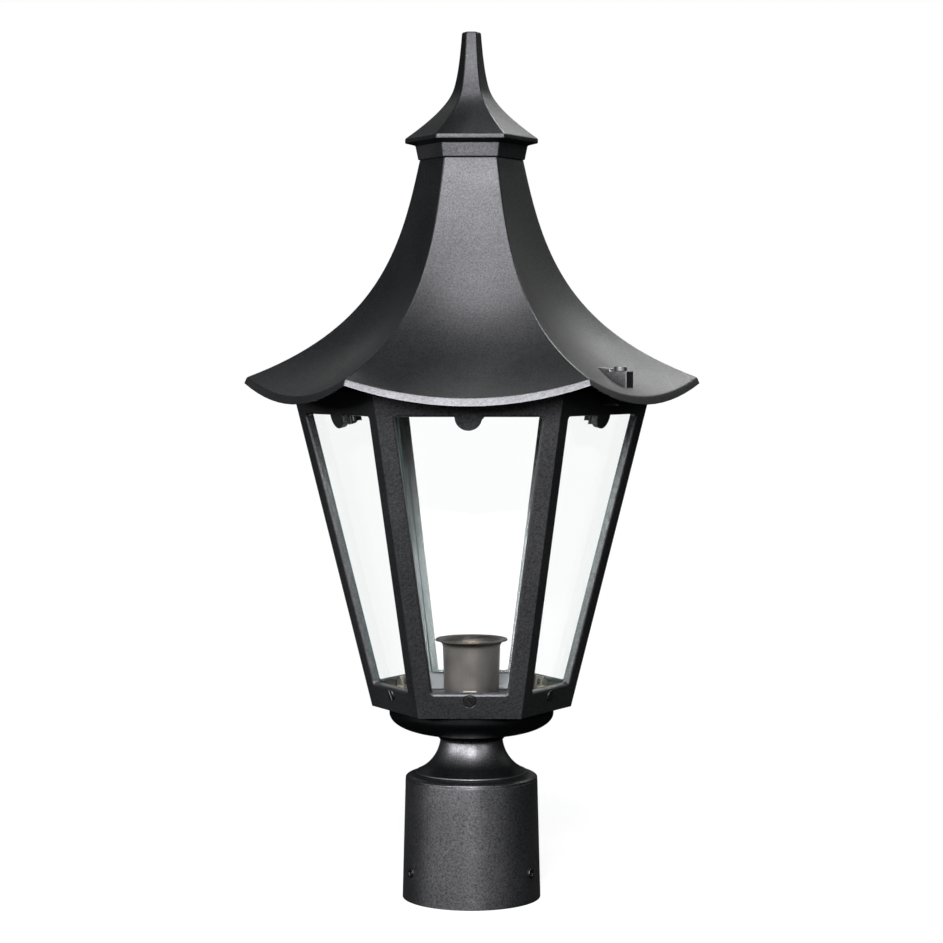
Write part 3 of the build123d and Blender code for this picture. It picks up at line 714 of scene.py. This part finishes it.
def make_boss(side, azimuth):
    """Wedge for a hold-down screw, with a flat seat for its head, and the pillar under the roof."""
    embed = ROOF_WALL / 2
    corners = [
        (BOSS_START, roof_height_at(BOSS_START) - embed),
        (BOSS_END, roof_height_at(BOSS_END) - embed),
        (BOSS_END, BOSS_SEAT),
        (BOSS_STEP, BOSS_SEAT),
        (BOSS_STEP, BOSS_CREST + BOSS_SLOPE * (BOSS_AXIS - BOSS_STEP)),
        (BOSS_START, BOSS_CREST + BOSS_SLOPE * (BOSS_AXIS - BOSS_START)),
    ]
    wedge = flat_outline(f"roof_boss_{side}", corners, BOSS_WIDTH)
    soften(wedge, 0.6, 3)
    turn_about_axis(wedge, azimuth)
    # painted highlight: the boss gets the shinier coat
    finish(wedge, "roof", "black_coat", skin=boss_collar_highlight_coat)
    inner, outer = PILLAR_BORE, BOSS_WIDTH / 2 - PILLAR_INSET
    crest = roof_height_at(BOSS_AXIS) - embed
    rings = [(inner, PILLAR_FOOT, 0), (outer, PILLAR_FOOT, 0), (outer, crest, 0), (inner, crest, 0)]
    axis = (BOSS_AXIS * MM, 0, 0)
    pillar = ring_body(f"roof_pillar_{side}", PILLAR_SIDES, rings + rings[:1], place=axis)
    soften(pillar, 0.4, 2)
    turn_about_axis(pillar, azimuth)
    finish(pillar, "roof", "black_coat")


make_roof()
make_skirt()
for side, azimuth in (("right", -30), ("left", 150)):
    make_boss(side, azimuth)

# ---------------------------------------------------------------- finial
finial_foot = low("finial")
# corner radius and height of each level, and of the pull point of each curve between two levels
collar_foot = (33.3, finial_foot)
collar_top = (35.1, finial_foot + 8.9)
cap_foot = (41.5, finial_foot + 10.4)
cap_top = (41.5, finial_foot + 13.2)
flare_pull = (17.5, finial_foot + 29.9)
spike_root = (12.2, finial_foot + 41.5)
spike_pull = (8.35, finial_foot + 49.8)
spike_tip = (6.2, finial_foot + 77.2)
tip_pull = (6.2, finial_foot + 79.1)
tip_end = (4.8, finial_foot + 79.1)
FINIAL_OUTLINE = [
    (collar_foot, collar_top),
    (collar_top, cap_foot),
    (cap_foot, cap_top),
    (cap_top, flare_pull, spike_root),
    (spike_root, spike_pull, spike_tip),
    (spike_tip, tip_pull, tip_end),
]
FINIAL_CURVE_STEPS = 14
# where the collar's painted-highlight coat ends, and where the cap band's plain coat ends
COLLAR_COAT_TOP = (finial_foot + 8.5) * MM
BAND_COAT_TOP = (finial_foot + 13.3) * MM


def make_finial():
    """Hexagonal collar, flared cap and spike."""
    rings = [(*collar_foot, 0)]
    for controls in FINIAL_OUTLINE:
        steps = FINIAL_CURVE_STEPS if len(controls) > 2 else 1
        rings += [(radius, height, 0) for radius, height in curve_points(controls, steps, 1)]
    piece = ring_body("finial_casting", 6, rings)
    soften(piece, 0.6, 3, HIP_ANGLE)
    # painted shade on the finial, a painted highlight on its collar, and the plain coat on the cap band
    finish(piece, "roof", "black_coat", "finial", skin=finial_shade_coat)
    coat_faces(piece, boss_collar_highlight_coat, lambda face: face.center.z < COLLAR_COAT_TOP)
    coat_faces(piece, coat, lambda face: COLLAR_COAT_TOP < face.center.z < BAND_COAT_TOP and upright(face))


make_finial()

# ---------------------------------------------------------------- castings and fittings from the frame
def looks_at_axis(face):
    """True for inner faces of the cage, apart from those beside the corners on X: the faces with a painted
    highlight.
    """
    across = Vector((face.center.x, face.center.y, 0)).normalized()
    return face.normal.dot(across) < -0.6 and abs(across.y) > 0.6


CASTINGS = {
    "cage_frame": (0.5, cage_coat),
    "base_pan": (0.6, pan_bead_shade_coat),
    "neck": (0.6, neck_highlight_coat),
    "fitter_collar": (0.25, fitter_highlight_coat),
}
# height of the neck's bead, which gets painted shade
NECK_BEAD = 3.4
CUP_RIM = 3.5
bead_shade_foot = (high("neck") - NECK_BEAD) * MM
rim_shade_foot = (high("socket_cup") - CUP_RIM) * MM
for node, (radius, skin) in CASTINGS.items():
    piece = cast_from(node, radius, "lantern", "black_coat", skin)
    if node == "cage_frame":
        # painted highlight: the cage's inner faces on the front and rear sides get the shinier coat
        coat_faces(piece, painted_highlight_coat, looks_at_axis)
    elif node == "neck":
        # painted shade: the neck's bead gets the pan's darkened coat
        coat_faces(piece, pan_bead_shade_coat, lambda face: face.center.z > bead_shade_foot)
cast_from("floor_plate", 0.25, "lantern", "black_sheet", sheet_coat, 2)
cast_from("roof_gasket", 0.4, "lantern", "gasket_rubber", gasket_foam, 2)
cast_from("pane_brackets", 0.3, "lantern", "yellow_zinc", bracket_metal, 2)
cast_from("pane_clips", 0.15, "lantern", "spring_steel", spring_metal, 2)
cast_from("pane_clip_screws", 0.2, "lantern", "zinc_steel", zinc, 2)
cast_from("rail_screws", 0.2, "lantern", "black_steel", oxide, 2)
cup = cast_from("socket_cup", 0.3, "lantern", "antique_metal", cup_metal, 2)
# painted shade: the cup's rim gets the darker metal
coat_faces(cup, rim_shade_metal, lambda face: face.center.z > rim_shade_foot)
cast_from("socket_body", 0.4, "lantern", "porcelain", porcelain, 3)
cast_from("socket_shell", 0.12, "lantern", "shell_brass", brass, 2)
cast_from("socket_contact", 0.1, "lantern", "shell_brass", brass, 2)
for node in ("stem_pipe", "stem_washer_lower", "stem_nut_lower", "stem_washer_upper", "stem_nut_upper"):
    cast_from(node, 0.3, "lantern", "zinc_steel", zinc, 2)
cast_from("socket_bushing", 0.3, "lantern", "zinc_steel", zinc, 2)
for node in ("finial_rod", "finial_washer", "finial_nut"):
    cast_from(node, 0.3, "roof", "zinc_steel", zinc, 2)
for node in ("roof_screw_right", "roof_screw_left"):
    cast_from(node, 0.2, node, "zinc_steel", dull_zinc, 2)
for node in ("set_screw_right", "set_screw_rear", "set_screw_left"):
    cast_from(node, 0.2, node, "black_steel", oxide, 2)


def make_pane(number):
    """One pane with arrised edges and a green cut edge."""
    node = f"glass_pane_{number}"
    piece = merged_copy(node, f"{node}_arrised")
    piece.data.materials.append(glass)
    piece.data.materials.append(glass_edge)
    soften(piece, 0.35, 1)
    azimuth = math.radians(SIDE_AZIMUTHS[number - 1])
    across = Vector(
        (
            math.cos(azimuth) * math.cos(lean_angle),
            math.sin(azimuth) * math.cos(lean_angle),
            -math.sin(lean_angle),
        )
    )
    for face in piece.data.polygons:
        face.material_index = 0 if abs(face.normal.dot(across)) > 0.9 else 1
    finish(piece, "lantern", "clear_glass", node)


for number in range(1, 7):
    make_pane(number)

# ---------------------------------------------------------------- floor, backdrop light and lamps
# tones of the floor and the room for all rays but the camera's and those through glass, so also
# for glossy ones: the castings don't mirror the white that the camera sees
FLOOR_BOUNCE = 0.01
ROOM = 0.006
FLOOR_SIZE = 14.0
# the floor's own glow at the lantern's foot, and far from it
NEAR_GLOW = 0.7
FAR_GLOW = 1.0


def camera_share(shader):
    """One for rays from the camera, straight or through glass, and zero for the rest."""
    rays = shader.add("ShaderNodeLightPath").outputs
    return shader.number("MAXIMUM", rays["Is Camera Ray"], rays["Is Transmission Ray"])


def studio_floor():
    """Floor that looks near white, straight or through glass, with a shadow, and is dark for other rays."""
    deselect_all()
    bpy.ops.mesh.primitive_plane_add(size=FLOOR_SIZE, location=(0, 0, 0))
    floor = bpy.context.object
    floor.name = "studio_floor"
    made, shader, surface, output = material("pale_floor")
    place = shader.add("ShaderNodeTexCoord").outputs["Object"]
    mottle = shader.add("ShaderNodeTexNoise", Vector=place, Scale=3.0).outputs["Fac"]
    seen = camera_share(shader)
    pale = shader.blend(mottle, grey(0.8), grey(0.82))
    shader.put(surface, "Base Color", shader.blend(seen, grey(FLOOR_BOUNCE), pale))
    shader.put(surface, "Roughness", 0.9)
    shader.put(surface, "Specular IOR Level", 0.0)
    glow = shader.add("ShaderNodeEmission", Color=grey(1.0), Strength=1.0)
    reach_out = shader.add("ShaderNodeVectorMath", {"operation": "LENGTH"})
    made.node_tree.links.new(place, reach_out.inputs[0])
    even = shader.spread(reach_out.outputs["Value"], 0.05, 0.9, NEAR_GLOW, FAR_GLOW)
    either = shader.add("ShaderNodeMixShader", Fac=shader.number("MULTIPLY", seen, even))
    made.node_tree.links.new(surface.outputs["BSDF"], either.inputs[1])
    made.node_tree.links.new(glow.outputs["Emission"], either.inputs[2])
    made.node_tree.links.new(either.outputs["Shader"], output.inputs["Surface"])
    floor.data.materials.append(made)


def studio_world():
    """White where the camera looks, straight or through glass, and a dark room for the rest."""
    world = bpy.data.worlds.new("studio")
    bpy.context.scene.world = world
    world.use_nodes = True
    world.node_tree.nodes.clear()
    shader = Shader(world.node_tree)
    colour = shader.blend(camera_share(shader), grey(ROOM), grey(1.0))
    background = shader.add("ShaderNodeBackground", Color=colour, Strength=1.0)
    output = shader.add("ShaderNodeOutputWorld")
    world.node_tree.links.new(background.outputs["Background"], output.inputs["Surface"])


LAMP_TARGET = Vector((0, 0, 0.3))
LAMP_DISTANCE = 2.2
LAMP_SIDE = 0.45
COOL, NEUTRAL = (0.985, 0.975, 1.04), (1.0, 1.0, 1.0)
# together they are stronger in front than a plain level, to suit the coats' dark base colours
# name: degrees round from the front towards +X, degrees up, watts, colour
LAMPS = {
    "key": (0, 24, 46.0, COOL),
    "top": (0, 54, 22.0, COOL),
    "top_left": (-24, 54, 18.0, COOL),
    "low_front": (0, 13, 22.0, COOL),
    "low_left": (-36, 12, 25.0, COOL),
    "low_side": (-66, 10, 20.0, COOL),
    "low_right": (44, 12, 9.0, COOL),
    "back_right": (130, 44, 10.0, NEUTRAL),
    "back_right_top": (150, 56, 19.0, NEUTRAL),
    "back_right_far": (160, 44, 7.5, NEUTRAL),
    "back_right_low": (130, 20, 0.7, NEUTRAL),
    "back_left": (-150, 30, 0.8, NEUTRAL),
}


def soft_lamp(name, azimuth, elevation, power, colour):
    """A square softbox that looks at the lantern from a direction."""
    light = bpy.data.lights.new(name, "AREA")
    light.shape = "SQUARE"
    light.size = LAMP_SIDE
    light.energy = power
    light.color = colour
    lamp = bpy.data.objects.new(name, light)
    bpy.context.scene.collection.objects.link(lamp)
    turn, rise = math.radians(azimuth), math.radians(elevation)
    away = Vector((math.sin(turn) * math.cos(rise), -math.cos(turn) * math.cos(rise), math.sin(rise)))
    lamp.location = LAMP_TARGET + LAMP_DISTANCE * away
    lamp.rotation_mode = "QUATERNION"
    lamp.rotation_quaternion = (-away).to_track_quat("-Z", "Y")
    lamp.visible_camera = False


studio_floor()
studio_world()
for name, settings in LAMPS.items():
    soft_lamp(name, *settings)

# ---------------------------------------------------------------- camera
# pixels across the photograph, and pixels to a metre at the lantern's axis
PHOTO_SIDE = 943
AXIS_SCALE = 1605.0
SENSOR = 36.0
LENS_SHIFT = -0.05
# metres, and radians
CAMERA_DISTANCE = 1.5152
CAMERA_HEIGHT = 0.3369
CAMERA_AZIMUTH = math.radians(1.15)
CAMERA_TILT = 0.02746


def make_camera():
    """Camera a little to the right of the front, tilted slightly down, with the photo's perspective."""
    data = bpy.data.cameras.new("camera")
    data.sensor_width = SENSOR
    data.lens = SENSOR * AXIS_SCALE * CAMERA_DISTANCE / PHOTO_SIDE
    data.shift_y = LENS_SHIFT
    camera = bpy.data.objects.new("camera", data)
    bpy.context.scene.collection.objects.link(camera)
    camera.location = (
        CAMERA_DISTANCE * math.sin(CAMERA_AZIMUTH),
        -CAMERA_DISTANCE * math.cos(CAMERA_AZIMUTH),
        CAMERA_HEIGHT,
    )
    camera.rotation_euler = (ROUND / 4 - CAMERA_TILT, 0, CAMERA_AZIMUTH)
    bpy.context.scene.camera = camera


make_camera()
bpy.context.scene.view_settings.view_transform = "Standard"
